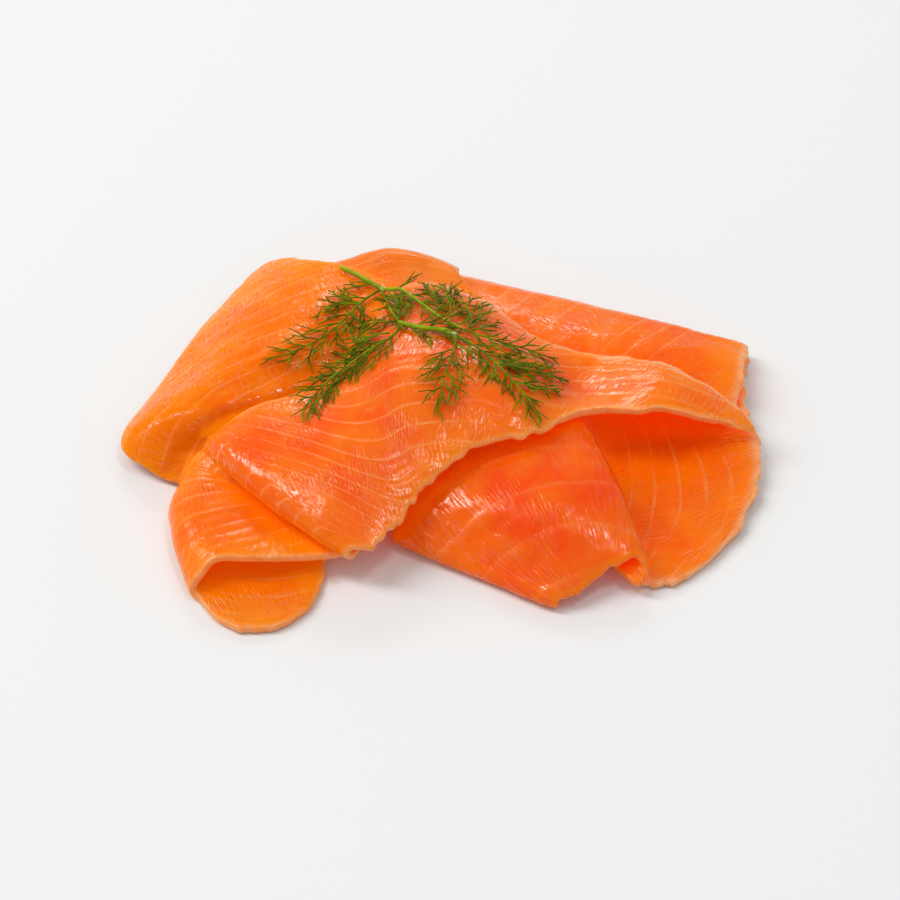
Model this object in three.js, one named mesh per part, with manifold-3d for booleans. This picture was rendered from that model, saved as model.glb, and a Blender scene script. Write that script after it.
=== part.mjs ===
// Smoked salmon slices: five thin slices of cured, cold-smoked salmon folded and
// draped over one another in a low heap, with a sprig of dill laid on top.
// Millimetres, +Z up, the heap rests on the ground plane.
//
// Every slice is one flexible sheet of even thickness. It is described by the lines
// that run across it, from one cut edge to the other, in the order in which they
// follow each other along the slice. A fold between two lines is a round turn.

import * as THREE from 'three';
import { mergeVertices } from 'three/addons/utils/BufferGeometryUtils.js';
import Module from 'manifold-3d';

const wasm = await Module();
wasm.setup();

// ---- driving sizes ------------------------------------------------------------

const SLICE_THICKNESS = 2.4;      // hand-cut slice
const EDGE_THICKNESS = 1.5;       // where the knife ran out, at the cut edges
const FOLD_STEPS = 3;             // lines added inside one round turn
const LONG_STEP = 7;              // longest distance between rows of faces
const ACROSS_STEP = 6;            // distance between columns of faces
const CURVE_SAMPLES = 80;         // points measured along a curve

const STALK_RADIUS = 0.9;
const BRANCH_RADIUS = 0.6;
const THREAD_RADIUS = 0.45;
const SPRIG_CLEARANCE = 0.7;      // air between the sprig and the fish

// ---- the slices: lines across each one, [x, y, z] of the middle of the sheet ----

// A round turn between the lines before and after it. The two numbers say how full
// the turn is at the first and at the last end of the lines: 1 is a half circle.
const fold = (first = 1, last = 1) => ({ fold: [first, last] });

// The top slice: from its pointed end on the right, over the crown of the heap, down
// to a rounded nose at the front left, where it doubles back under itself twice.
const TOP_SLICE = [
  { name: 'pointed end', at: [[82, 2, 11], [86, -3, 9.5], [84, -4, 9]] },
  { name: 'right', at: [[74, 9, 13.5], [73, 1, 14.5], [72, -5, 14]] },
  { name: 'flap', at: [[61, 16, 16], [59, 3, 18.5], [57, -6, 18.5]] },
  { name: 'pinch', at: [[43, 21, 15.5], [38, 8, 15.5], [37, -8, 20]] },
  { name: 'shoulder', at: [[28, 26, 15.4], [23, -3, 24], [24, -17, 21]] },
  { name: 'crown', at: [[12, 39.5, 17.3], [9, -1, 26.5], [9, -21, 20]] },
  { name: 'broad', at: [[-10, 44, 20], [-11, -2, 26], [-3, -31, 17]] },
  { name: 'slope', at: [[-30, 7, 19], [-24, -19, 22], [-11, -42, 14]] },
  { name: 'front', at: [[-50, -1, 18], [-37, -26, 19.5], [-17.5, -49, 12.5]] },
  { name: 'nose', at: [[-62, -8, 12.5], [-58, -15, 16.8], [-46, -30, 17], [-23, -49.5, 12.6]] },
  fold(0.35, 0.8),
  { name: 'tuck', at: [[-64, -10, 11.3], [-60, -17, 12.6], [-45, -30, 10.2], [-21.5, -48.8, 9]] },
  { name: 'valley top', at: [[-65.5, -11.5, 10], [-61, -18, 11.2], [-41, -28, 9.4], [-19, -42, 8]] },
  fold(0, 1),
  { name: 'valley bottom', at: [[-67, -13, 9], [-62.5, -19, 10.4], [-42, -29, 6.6], [-21, -44, 5.6]] },
  { name: 'second layer', at: [[-69.5, -16, 7.5], [-65.7, -22, 10.6], [-55, -36, 10], [-46, -51, 9.5]] },
  { name: 'roll', at: [[-70.3, -19, 5.5], [-68.2, -24, 9], [-65.2, -36, 10], [-56.5, -51, 10]] },
  fold(1, 0.55),
  { name: 'under the roll', at: [[-69.5, -22, 1.5], [-66.5, -41, 1.5], [-62.5, -57.5, 1.5]] },
  { name: 'base, left', at: [[-64, -22, 1.5], [-60.5, -44, 1.5], [-57.5, -63.5, 1.5]] },
  { name: 'base, middle', at: [[-57, -22, 1.5], [-51, -46, 1.5], [-50, -67.3, 1.5]] },
  { name: 'base, right', at: [[-47, -22, 1.5], [-39, -45, 1.5], [-41.5, -66, 1.5]] },
  { name: 'last cut edge', at: [[-40, -22, 1.5], [-29.5, -41.5, 1.5], [-33, -60, 1.5]] },
];

// The left slice: from the back of the heap down to a nose at the left, with a lip
// that dips into a hollow beside the top slice.
const LEFT_SLICE = [
  { name: 'rear edge', at: [[-52, 72, 4], [-32, 59, 15], [-11, 46, 16.5]] },
  { name: 'upper', at: [[-68, 46.5, 3], [-43, 38, 16.5], [-12, 33, 17]] },
  { name: 'belly', at: [[-81, 17.5, 3], [-54, 18, 16.5], [-16, 22, 16.2]] },
  { name: 'nose', at: [[-88.4, -5.5, 4.5], [-72, 0, 14.5], [-49, 9, 16], [-20, 21, 15.5]] },
  {
    name: 'lip',
    at: [
      [-80.5, -12.5, 2.6], [-72, -7, 10.5], [-62, -2, 14.5],
      [-48, 3, 14.5], [-25, 14, 14],
    ],
  },
  {
    name: 'lip under',
    at: [
      [-76.5, -14.5, 1.5], [-69, -8, 7], [-60, -2, 10],
      [-46, 4, 10.5], [-21, 14, 11],
    ],
  },
  {
    name: 'hollow',
    at: [
      [-71, -17, 1.5], [-64, -10, 4.5], [-55, -3, 6.5],
      [-39, 3, 7.5], [-13, 11, 10.5],
    ],
  },
  { name: 'hollow foot', at: [[-65, -13, 1.5], [-42, -6, 3.5], [-6, 4, 10]] },
  { name: 'hidden end', at: [[-61, -18.5, 1.5], [-43, -18.5, 1.5], [-34, -25, 1.5], [-16, -20, 4]] },
];

// The rear slice: a low hump that shows behind the others.
const REAR_SLICE = [
  { name: 'foot', at: [[-49, 60, 1.5], [-20, 64, 1.5], [-3, 60, 8], [5, 57.5, 10.5]] },
  { name: 'wall', at: [[-46, 64, 4], [-33, 62.5, 8.5], [-15, 65.5, 9.5], [5, 57.5, 12.5]] },
  { name: 'crest', at: [[-43, 61, 7], [-30, 60.5, 11.6], [-15, 63, 15.2], [4.5, 54.5, 14.8]] },
  { name: 'slope', at: [[-41, 55, 8.5], [-28, 54, 12.5], [-13, 55, 15], [12, 42.5, 13.8]] },
  { name: 'under the crown', at: [[-36, 46, 10], [-9, 41, 12.5], [18, 35, 13.2]] },
  { name: 'hidden end', at: [[-33, 36, 9], [-8, 29, 12.2], [17, 28, 13.4]] },
];

// The right slice: a broad leaf on the ground, folded over at the back into a second
// leaf that the top slice rests on.
const RIGHT_SLICE = [
  { name: 'front edge', at: [[43, -41, 1.5], [54, -53, 1.5], [69, -46, 1.5]] },
  { name: 'dish', at: [[41, -29, 1.5], [60, -36, 1.5], [81, -31, 2.5]] },
  { name: 'middle', at: [[40, -11, 1.5], [62, -14, 2], [88, -13, 4.5]] },
  { name: 'shaded', at: [[37, 8, 2], [60, 4, 2], [87, -3, 6.5]] },
  { name: 'back', at: [[9, 44, 2], [50, 28, 2], [86, 21, 3]] },
  { name: 'back foot', at: [[3, 62, 2], [46, 45.3, 2], [88.3, 31.5, 2]] },
  fold(),
  { name: 'back top', at: [[3, 54, 9], [45, 41, 9.6], [88, 30.5, 6]] },
  { name: 'upper leaf', at: [[8, 40, 10], [50, 28, 12], [86, 21, 8.5]] },
  { name: 'leaf front', at: [[17, 21, 10], [55, 14, 11.5], [82, 7, 7.5]] },
  { name: 'hidden edge', at: [[32, 7, 10.5], [54, 5, 11.5], [74, 3, 8.5]] },
];

// The front slice: a cone-like drape with a rolled right side.
const FRONT_SLICE = [
  { name: 'hidden foot', at: [[31, -54, 1.5], [10, -41, 1.5], [-9, -28, 1.5]] },
  { name: 'foot', at: [[31, -58, 1.5], [8, -46, 1.5], [-13, -34, 1.5]] },
  fold(),
  { name: 'side', at: [[31, -59, 4.1], [9, -47, 4.4], [-13, -36, 4.6]] },
  { name: 'bulge', at: [[36, -57.5, 4.4], [16, -39, 11], [-7, -25, 10.5]] },
  { name: 'ridge', at: [[42.5, -52.5, 7], [29, -33, 15], [10, -11, 14]] },
  { name: 'right crest', at: [[49, -49.5, 9], [41, -26, 14.5], [31, -4, 16.5]] },
  fold(),
  { name: 'right foot', at: [[51, -54.5, 4.7], [41, -24, 4.5], [32, -2, 4.5]] },
  { name: 'hidden edge', at: [[44, -47.5, 4.6], [33, -24, 4.5], [24, -6, 4.5]] },
];

// ---- curves through points -----------------------------------------------------

const mix = (a, b, t) => a.map((value, i) => value + (b[i] - value) * t);
const minus = (a, b) => a.map((value, i) => value - b[i]);
const length = (a) => Math.hypot(...a);

// Knots of a centripetal spline: the steps follow the square root of the distances,
// so tight turns stay round beside long straight runs.
function knotsFor(distances) {
  const knots = [0];
  distances.forEach((distance) => knots.push(knots.at(-1) + Math.sqrt(Math.max(distance, 1e-6))));
  return knots;
}

// A smooth curve through rows of numbers; returns a function of the knot value.
function smoothCurve(rows, knots) {
  const last = rows.length - 1;
  const steps = rows.slice(1).map((row, i) => knots[i + 1] - knots[i]);
  const slopes = steps.map((step, i) => minus(rows[i + 1], rows[i]).map((d) => d / step));
  const tangents = rows.map((row, i) => {
    if (i === 0 || i === last) {
      return null;
    }
    const share = steps[i] / (steps[i - 1] + steps[i]);
    return slopes[i - 1].map((slope, k) => slope * share + slopes[i][k] * (1 - share));
  });
  if (last === 1) {
    tangents[0] = slopes[0];
    tangents[1] = slopes[0];
  } else {
    tangents[0] = slopes[0].map((slope, k) => 1.5 * slope - 0.5 * tangents[1][k]);
    tangents[last] = slopes[last - 1].map((slope, k) => 1.5 * slope - 0.5 * tangents[last - 1][k]);
  }
  return (knot) => {
    let i = 0;
    while (i < last - 1 && knot > knots[i + 1]) {
      i += 1;
    }
    const s = (knot - knots[i]) / steps[i];
    const s2 = s * s;
    const s3 = s2 * s;
    return rows[i].map((value, k) => (
      (2 * s3 - 3 * s2 + 1) * value
      + (s3 - 2 * s2 + s) * steps[i] * tangents[i][k]
      + (3 * s2 - 2 * s3) * rows[i + 1][k]
      + (s3 - s2) * steps[i] * tangents[i + 1][k]
    ));
  };
}

// A line given by a few points, as evenly spaced points.
function evenLine(points, count) {
  const knots = knotsFor(points.slice(1).map((point, i) => length(minus(point, points[i]))));
  const curve = smoothCurve(points, knots);
  const step = knots.at(-1) / CURVE_SAMPLES;
  const fine = Array.from({ length: CURVE_SAMPLES + 1 }, (_, i) => curve(step * i));
  const travelled = [0];
  fine.slice(1).forEach((point, i) => travelled.push(travelled[i] + length(minus(point, fine[i]))));
  let at = 0;
  return Array.from({ length: count }, (_, i) => {
    const wanted = (travelled.at(-1) * i) / (count - 1);
    while (at < CURVE_SAMPLES - 1 && travelled[at + 1] < wanted) {
      at += 1;
    }
    const share = (wanted - travelled[at]) / (travelled[at + 1] - travelled[at]);
    return mix(fine[at], fine[at + 1], share);
  });
}

// The lines of a round turn from the line above it to the line below it. The turn
// bulges the way the sheet was running.
function turnLines(before, above, below, fullness) {
  const columns = above.length;
  return Array.from({ length: FOLD_STEPS }, (_, step) => {
    const angle = (Math.PI * (step + 1)) / (FOLD_STEPS + 1);
    return above.map((top, j) => {
      const bottom = below[j];
      const run = minus(top, before[j]);
      const level = Math.hypot(run[0], run[1]);
      const radius = length(minus(top, bottom)) / 2;
      const full = fullness[0] + ((fullness[1] - fullness[0]) * j) / (columns - 1);
      const reach = (radius * full * Math.sin(angle)) / level;
      const middle = mix(top, bottom, (1 - Math.cos(angle)) / 2);
      return [middle[0] + run[0] * reach, middle[1] + run[1] * reach, middle[2]];
    });
  });
}

// ---- a slice as a closed solid ---------------------------------------------------

// The middle surface of a slice: rows of points, each row running across the slice.
function middleSurface(lines) {
  const widest = Math.max(...lines.filter((line) => line.at).map((line) => (
    line.at.slice(1).reduce((sum, point, i) => sum + length(minus(point, line.at[i])), 0)
  )));
  const columns = Math.round(widest / ACROSS_STEP) + 1;
  const even = lines.map((line) => (line.at ? evenLine(line.at, columns) : null));
  const rows = lines.flatMap((line, i) => {
    if (line.at) {
      return [even[i]];
    }
    return turnLines(even[i - 2], even[i - 1], even[i + 1], line.fold);
  });
  const distances = rows.slice(1).map((row, i) => (
    row.reduce((sum, point, j) => sum + length(minus(point, rows[i][j])), 0) / columns
  ));
  const knots = knotsFor(distances);
  const along = smoothCurve(rows.map((row) => row.flat()), knots);
  const placed = distances.flatMap((distance, i) => {
    const pieces = Math.max(1, Math.ceil(distance / LONG_STEP));
    const piece = (knots[i + 1] - knots[i]) / pieces;
    return Array.from({ length: pieces }, (_, p) => knots[i] + piece * p);
  });
  placed.push(knots.at(-1));
  return placed.map((knot) => {
    const flat = along(knot);
    return Array.from({ length: columns }, (_, j) => flat.slice(3 * j, 3 * j + 3));
  });
}

// Unit normal of the surface at every point, from its neighbours.
function normalsOf(rows) {
  const point = (i, j) => new THREE.Vector3(...rows[i][j]);
  return rows.map((row, i) => row.map((_, j) => {
    const along = point(Math.min(i + 1, rows.length - 1), j).sub(point(Math.max(i - 1, 0), j));
    const across = point(i, Math.min(j + 1, row.length - 1)).sub(point(i, Math.max(j - 1, 0)));
    return along.cross(across).normalize();
  }));
}

// The sheet with its thickness, thinner at the cut edges: two skins joined by a rim.
function sliceGeometry(lines) {
  const rows = middleSurface(lines);
  const normals = normalsOf(rows);
  const lastRow = rows.length - 1;
  const lastColumn = rows[0].length - 1;
  const positions = [];
  [1, -1].forEach((side) => {
    rows.forEach((row, i) => row.forEach((point, j) => {
      const onRim = i === 0 || j === 0 || i === lastRow || j === lastColumn;
      const offset = (side * (onRim ? EDGE_THICKNESS : SLICE_THICKNESS)) / 2;
      const skin = new THREE.Vector3(...point).addScaledVector(normals[i][j], offset);
      positions.push(skin.x, skin.y, skin.z);
    }));
  });
  const columns = lastColumn + 1;
  const under = rows.length * columns;
  const triangles = [];
  const quad = (a, b, c, d) => triangles.push(a, b, c, a, c, d);
  for (let i = 0; i < lastRow; i += 1) {
    for (let j = 0; j < lastColumn; j += 1) {
      const corner = i * columns + j;
      quad(corner, corner + columns, corner + columns + 1, corner + 1);
      const below = under + corner;
      quad(below, below + 1, below + columns + 1, below + columns);
    }
  }
  const rim = [];
  for (let j = 0; j < lastColumn; j += 1) {
    rim.push(j);
  }
  for (let i = 0; i < lastRow; i += 1) {
    rim.push(i * columns + lastColumn);
  }
  for (let j = lastColumn; j > 0; j -= 1) {
    rim.push(lastRow * columns + j);
  }
  for (let i = lastRow; i > 0; i -= 1) {
    rim.push(i * columns);
  }
  rim.forEach((start, i) => {
    const end = rim[(i + 1) % rim.length];
    quad(start, end, under + end, under + start);
  });
  const geometry = new THREE.BufferGeometry();
  geometry.setAttribute('position', new THREE.Float32BufferAttribute(positions, 3));
  geometry.setIndex(triangles);
  return geometry;
}

// ---- the sprig of dill, laid over the crown of the heap ---------------------------

// Where each stem runs, [x, y] from its thick end to its tip, and how long and how many
// its leaves are. The first one is the cut stalk; each of the others starts on a stem
// already there.
const STEMS = [
  {
    name: 'stalk',
    at: [[-29.1, 51.9], [-17.3, 42.1], [-12.4, 38.5], [-6.9, 31.4], [-0.8, 23.8], [6.3, 17.4]],
    leaf: 7,
    leaves: 4,
  },
  {
    name: 'left frond',
    at: [[-17.3, 42.1], [-22.9, 36], [-29, 26.3], [-35.4, 19.8], [-43.5, 15.3]],
    leaf: 9,
    leaves: 4,
  },
  {
    name: 'middle stem',
    at: [[-17.3, 42.1], [-16, 36], [-14.6, 28.3], [-11.8, 20.5], [-6.8, 18.1], [3.8, 14.8]],
    leaf: 7,
    leaves: 3,
  },
  {
    name: 'lower left frond',
    at: [[-11.8, 20.5], [-14.8, 13.8], [-21.8, 10.7], [-29.5, 5], [-36, -6]],
    leaf: 9,
    leaves: 4,
  },
  { name: 'front frond', at: [[3.8, 14.8], [3.3, 10], [2, 3.9], [-0.9, -8.9]], leaf: 7, leaves: 5 },
  {
    name: 'right frond',
    at: [[3.8, 14.8], [9.3, 10], [14.7, 3.4], [20, -4.1], [24.1, -9.6]],
    leaf: 9,
    leaves: 4,
  },
  { name: 'far right frond', at: [[11.5, 7.1], [18.2, 6.8], [24.2, 6], [31.8, 5.5]], leaf: 6, leaves: 3 },
  { name: 'side frond', at: [[6.3, 17.4], [14.9, 14.2], [20.4, 13.8], [29, 13.1]], leaf: 6, leaves: 3 },
  { name: 'rear frond', at: [[1.8, 21], [2.5, 26.8], [1.5, 32.9], [0.7, 39]], leaf: 6, leaves: 3 },
  { name: 'rear right frond', at: [[6.3, 17.4], [7.9, 21.9], [7.4, 27.5], [5.4, 35.1]], leaf: 6, leaves: 3 },
];
const LEAF_ANGLE = 0.75;          // between a leaf and its stem, radians
const FIRST_LEAF = 0.4;           // share of the stem that stays bare at its thick end
const LAST_LEAF = 0.9;
const STEEPEST = 0.3;             // a stem stands off the fish rather than bend more
const STEM_SIDES = 5;
const LEAF_SIDES = 4;
const TUBE_STEP = 5;

const sliceMeshes = [];
const downwards = new THREE.Vector3(0, 0, -1);
const HIGH = 100;

// Height of the top of the heap at a place.
function heapHeight(x, y) {
  const ray = new THREE.Raycaster(new THREE.Vector3(x, y, HIGH), downwards);
  const hits = ray.intersectObjects(sliceMeshes);
  return hits.length ? hits[0].point.z : 0;
}

const flatDistance = (a, b) => Math.hypot(a.x - b.x, a.y - b.y);
const planCurve = (places) => new THREE.CatmullRomCurve3(
  places.map(([x, y]) => new THREE.Vector3(x, y, 0)), false, 'centripetal');

// A path over the heap for a stem or a leaf given by its places in plan. It lies on
// the fish but spans its dips; it starts at the height of the stem it grows from.
function restingPath(places, radius, start) {
  const plan = planCurve(places);
  const count = Math.max(2, Math.ceil(plan.getLength() / TUBE_STEP));
  const path = plan.getSpacedPoints(count);
  path.forEach((point) => {
    const near = [-1, 0, 1];
    const around = near.flatMap((x) => near.map((y) => heapHeight(point.x + x, point.y + y)));
    point.z = Math.max(...around) + SPRIG_CLEARANCE + radius;
  });
  const drop = (STEEPEST * plan.getLength()) / count;
  for (let i = 1; i <= count; i += 1) {
    path[i].z = Math.max(path[i].z, path[i - 1].z - drop);
  }
  for (let i = count - 1; i >= 0; i -= 1) {
    path[i].z = Math.max(path[i].z, path[i + 1].z - drop);
  }
  if (start !== undefined) {
    path[0].z = start;
  }
  return path;
}

// A thin round stem along a path.
function tube(path, radius, sides) {
  const ring = new THREE.Shape();
  for (let side = 0; side < sides; side += 1) {
    const angle = (2 * Math.PI * side) / sides;
    ring[side ? 'lineTo' : 'moveTo'](radius * Math.cos(angle), radius * Math.sin(angle));
  }
  return new THREE.ExtrudeGeometry(ring, {
    steps: path.length - 1,
    extrudePath: new THREE.CatmullRomCurve3(path),
    bevelEnabled: false,
  });
}

function solidOf(geometry) {
  geometry.deleteAttribute('normal');
  geometry.deleteAttribute('uv');
  const merged = mergeVertices(geometry);
  return new wasm.Manifold(new wasm.Mesh({
    numProp: 3,
    vertProperties: merged.attributes.position.array,
    triVerts: new Uint32Array(merged.index.array),
  }));
}

function geometryOf(solid) {
  const mesh = solid.getMesh();
  const geometry = new THREE.BufferGeometry();
  geometry.setAttribute('position', new THREE.BufferAttribute(mesh.vertProperties, mesh.numProp));
  geometry.setIndex(new THREE.BufferAttribute(mesh.triVerts, 1));
  return geometry;
}

// All stems with their leaves, joined into one body.
function sprigSolid() {
  const solids = [];
  const grown = [];
  STEMS.forEach((stem, order) => {
    const radius = order ? BRANCH_RADIUS : STALK_RADIUS;
    const root = new THREE.Vector3(...stem.at[0], 0);
    const parent = grown.toSorted((a, b) => flatDistance(a, root) - flatDistance(b, root))[0];
    const path = restingPath(stem.at, radius, parent?.z);
    const curve = new THREE.CatmullRomCurve3(path);
    solids.push(solidOf(tube(path, radius, STEM_SIDES)));
    grown.push(...curve.getSpacedPoints(CURVE_SAMPLES));
    for (let leaf = 0; leaf < stem.leaves; leaf += 1) {
      const along = FIRST_LEAF + ((LAST_LEAF - FIRST_LEAF) * leaf) / (stem.leaves - 1);
      const start = curve.getPointAt(along);
      const heading = curve.getTangentAt(along);
      const turn = Math.atan2(heading.y, heading.x) + (leaf % 2 ? LEAF_ANGLE : -LEAF_ANGLE);
      const tip = [start.x + stem.leaf * Math.cos(turn), start.y + stem.leaf * Math.sin(turn)];
      const leafPath = restingPath([[start.x, start.y], tip], THREAD_RADIUS, start.z);
      solids.push(solidOf(tube(leafPath, THREAD_RADIUS, LEAF_SIDES)));
    }
  });
  return solids.reduce((whole, next) => whole.add(next));
}

// ---- the heap ---------------------------------------------------------------------

const SLICES = [
  ['slice_top', TOP_SLICE, 0xf0743a],
  ['slice_left', LEFT_SLICE, 0xf68a3c],
  ['slice_rear', REAR_SLICE, 0xf17e3d],
  ['slice_right', RIGHT_SLICE, 0xf27a2c],
  ['slice_front', FRONT_SLICE, 0xe35a20],
];
const WET_ROUGHNESS = 0.32;
const DILL_COLOUR = 0x5f7d1e;
const DILL_ROUGHNESS = 0.5;

const group = new THREE.Group();
function addPiece(name, geometry, color, roughness) {
  const finish = new THREE.MeshStandardMaterial({ color, roughness, metalness: 0 });
  const mesh = new THREE.Mesh(geometry, finish);
  mesh.name = name;
  group.add(mesh);
  return mesh;
}

SLICES.forEach(([name, lines, color]) => {
  sliceMeshes.push(addPiece(name, sliceGeometry(lines), color, WET_ROUGHNESS));
});
addPiece('dill_sprig', geometryOf(sprigSolid()), DILL_COLOUR, DILL_ROUGHNESS);

// The frame: the middle of the footprint at the origin, the lowest point on the ground.
const size = new THREE.Box3().setFromObject(group);
const middle = size.getCenter(new THREE.Vector3());
group.children.forEach((mesh) => mesh.geometry.translate(-middle.x, -middle.y, -size.min.z));

export default group;
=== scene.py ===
# %% [markdown]
# # Smoked salmon slices with dill
# Five thin slices of cured salmon lie folded over one another, and a sprig of dill lies on
# the crown of the heap. Cured fish is soft, moist and a little see-through, so the work goes
# into three things: how each slice hangs, the relief and pale fat lines of the flesh, and
# the way light goes into it.
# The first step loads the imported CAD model, which gives the frame that every piece keeps to.

# %% Load the frame
import math
import random

import bmesh
import bpy
import numpy as np
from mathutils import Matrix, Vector
from mathutils.bvhtree import BVHTree


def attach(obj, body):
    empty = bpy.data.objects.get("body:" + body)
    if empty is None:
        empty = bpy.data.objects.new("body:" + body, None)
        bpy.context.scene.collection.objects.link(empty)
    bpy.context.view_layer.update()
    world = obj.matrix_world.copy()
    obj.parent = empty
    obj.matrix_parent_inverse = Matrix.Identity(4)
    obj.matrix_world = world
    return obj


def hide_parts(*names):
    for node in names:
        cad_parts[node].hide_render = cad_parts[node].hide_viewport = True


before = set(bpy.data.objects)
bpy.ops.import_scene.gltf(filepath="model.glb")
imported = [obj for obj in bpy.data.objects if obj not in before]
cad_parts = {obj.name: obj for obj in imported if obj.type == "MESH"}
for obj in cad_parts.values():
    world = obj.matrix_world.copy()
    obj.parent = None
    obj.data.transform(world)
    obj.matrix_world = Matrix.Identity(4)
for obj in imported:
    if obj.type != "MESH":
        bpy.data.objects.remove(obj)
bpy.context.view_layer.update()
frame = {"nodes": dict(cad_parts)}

MM = 0.001
print("CAD nodes:", ", ".join(frame["nodes"]))

# %% [markdown]
# ## The camera
# The heap is seen from the front and from well above, as somebody at the table sees it. A
# long lens from a little over half a metre keeps the slices in their true proportions.

# %% Set up the camera
CAMERA_ELEVATION = math.radians(47)
CAMERA_DISTANCE = 0.607
CAMERA_LENS = 90
NEAREST_SEEN = 0.01
AIM = Vector((0.0021, -0.0136, 0.0099))


def set_up_camera():
    """A camera that looks down at the heap from the front."""
    bpy.ops.object.camera_add()
    camera = bpy.context.object
    away = Vector((0, -math.cos(CAMERA_ELEVATION), math.sin(CAMERA_ELEVATION)))
    camera.location = AIM + away * CAMERA_DISTANCE
    camera.rotation_euler = (-away).to_track_quat("-Z", "Y").to_euler()
    camera.data.lens = CAMERA_LENS
    camera.data.clip_start = NEAREST_SEEN
    bpy.context.scene.camera = camera
    return camera


print("camera at", [round(v, 3) for v in set_up_camera().location])

# %% [markdown]
# ## The lay of each slice
# A slice is a flexible sheet. Its lay is easiest to describe by the lines that run across
# it, from one cut edge to the other, in the order in which they follow each other. Each
# line needs only three to five points. Where the sheet doubles back, a round turn stands
# between two lines, and its two numbers say how full the turn is at either edge.
# The lines are in millimetres, from a mark on the table near the middle of the heap.

# %% Where the lines of each slice lie
def turn(first, last):
    """A round turn between two lines, and how full it is at their first and last points."""
    return ("turn", first, last)


MARK = np.array((-0.0079, 2.4182, 0.2090))

TOP_SLICE = [
    [(82, 2, 11), (86, -3, 9.5), (84, -4, 9)],  # pointed end
    [(74, 9, 13.5), (73, 1, 14.5), (72, -5, 14)],  # right
    [(61, 16, 16), (59, 3, 18.5), (57, -6, 18.5)],  # flap
    [(43, 21, 15.5), (38, 8, 15.5), (37, -8, 20)],  # pinch
    [(28, 26, 15.4), (23, -3, 24), (24, -17, 21)],  # shoulder
    [(12, 39.5, 17.3), (9, -1, 26.5), (9, -21, 20)],  # crown
    [(-10, 44, 20), (-11, -2, 26), (-3, -31, 17)],  # broad
    [(-30, 7, 19), (-24, -19, 22), (-11, -42, 14)],  # slope
    [(-50, -1, 18), (-37, -26, 19.5), (-17.5, -49, 12.5)],  # front
    [(-62, -8, 12.5), (-58, -15, 16.8), (-46, -30, 17), (-23, -49.5, 12.6)],  # nose
    turn(0.35, 0.8),
    [(-64, -10, 11.3), (-60, -17, 12.6), (-45, -30, 10.2), (-21.5, -48.8, 9)],  # tuck
    [(-65.5, -11.5, 10), (-61, -18, 11.2), (-41, -28, 9.4), (-19, -42, 8)],  # valley top
    turn(0, 1),
    [(-67, -13, 9), (-62.5, -19, 10.4), (-42, -29, 6.6), (-21, -44, 5.6)],  # valley bottom
    [(-69.5, -16, 7.5), (-65.7, -22, 10.6), (-55, -36, 10), (-46, -51, 9.5)],  # second layer
    [(-70.3, -19, 5.5), (-68.2, -24, 9), (-65.2, -36, 10), (-56.5, -51, 10)],  # roll
    turn(1, 0.55),
    [(-69.5, -22, 1.5), (-66.5, -41, 1.5), (-62.5, -57.5, 1.5)],  # under the roll
    [(-64, -22, 1.5), (-60.5, -44, 1.5), (-57.5, -63.5, 1.5)],  # base, left
    [(-57, -22, 1.5), (-51, -46, 1.5), (-50, -67.3, 1.5)],  # base, middle
    [(-47, -22, 1.5), (-39, -45, 1.5), (-41.5, -66, 1.5)],  # base, right
    [(-40, -22, 1.5), (-29.5, -41.5, 1.5), (-33, -60, 1.5)],  # last cut edge
]

LEFT_SLICE = [
    [(-52, 72, 4), (-32, 59, 15), (-11, 46, 16.5)],  # rear edge
    [(-68, 46.5, 3), (-43, 38, 16.5), (-12, 33, 17)],  # upper
    [(-81, 17.5, 3), (-54, 18, 16.5), (-16, 22, 16.2)],  # belly
    [(-88.4, -5.5, 4.5), (-72, 0, 14.5), (-49, 9, 16), (-20, 21, 15.5)],  # nose
    [(-80.5, -12.5, 2.6), (-72, -7, 10.5), (-62, -2, 14.5), (-48, 3, 14.5), (-25, 14, 14)],  # lip
    [(-76.5, -14.5, 1.5), (-69, -8, 7), (-60, -2, 10), (-46, 4, 10.5), (-21, 14, 11)],  # lip under
    [(-71, -17, 1.5), (-64, -10, 4.5), (-55, -3, 6.5), (-39, 3, 7.5), (-13, 11, 10.5)],  # hollow
    [(-65, -13, 1.5), (-42, -6, 3.5), (-6, 4, 10)],  # hollow foot
    [(-61, -18.5, 1.5), (-43, -18.5, 1.5), (-34, -25, 1.5), (-16, -20, 4)],  # hidden end
]

REAR_SLICE = [
    [(-49, 60, 1.5), (-20, 64, 1.5), (-3, 60, 8), (5, 57.5, 10.5)],  # foot
    [(-46, 64, 4), (-33, 62.5, 8.5), (-15, 65.5, 9.5), (5, 57.5, 12.5)],  # wall
    [(-43, 61, 7), (-30, 60.5, 11.6), (-15, 63, 15.2), (4.5, 54.5, 14.8)],  # crest
    [(-41, 55, 8.5), (-28, 54, 12.5), (-13, 55, 15), (12, 42.5, 13.8)],  # slope
    [(-36, 46, 10), (-9, 41, 12.5), (18, 35, 13.2)],  # under the crown
    [(-33, 36, 9), (-8, 29, 12.2), (17, 28, 13.4)],  # hidden end
]

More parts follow.
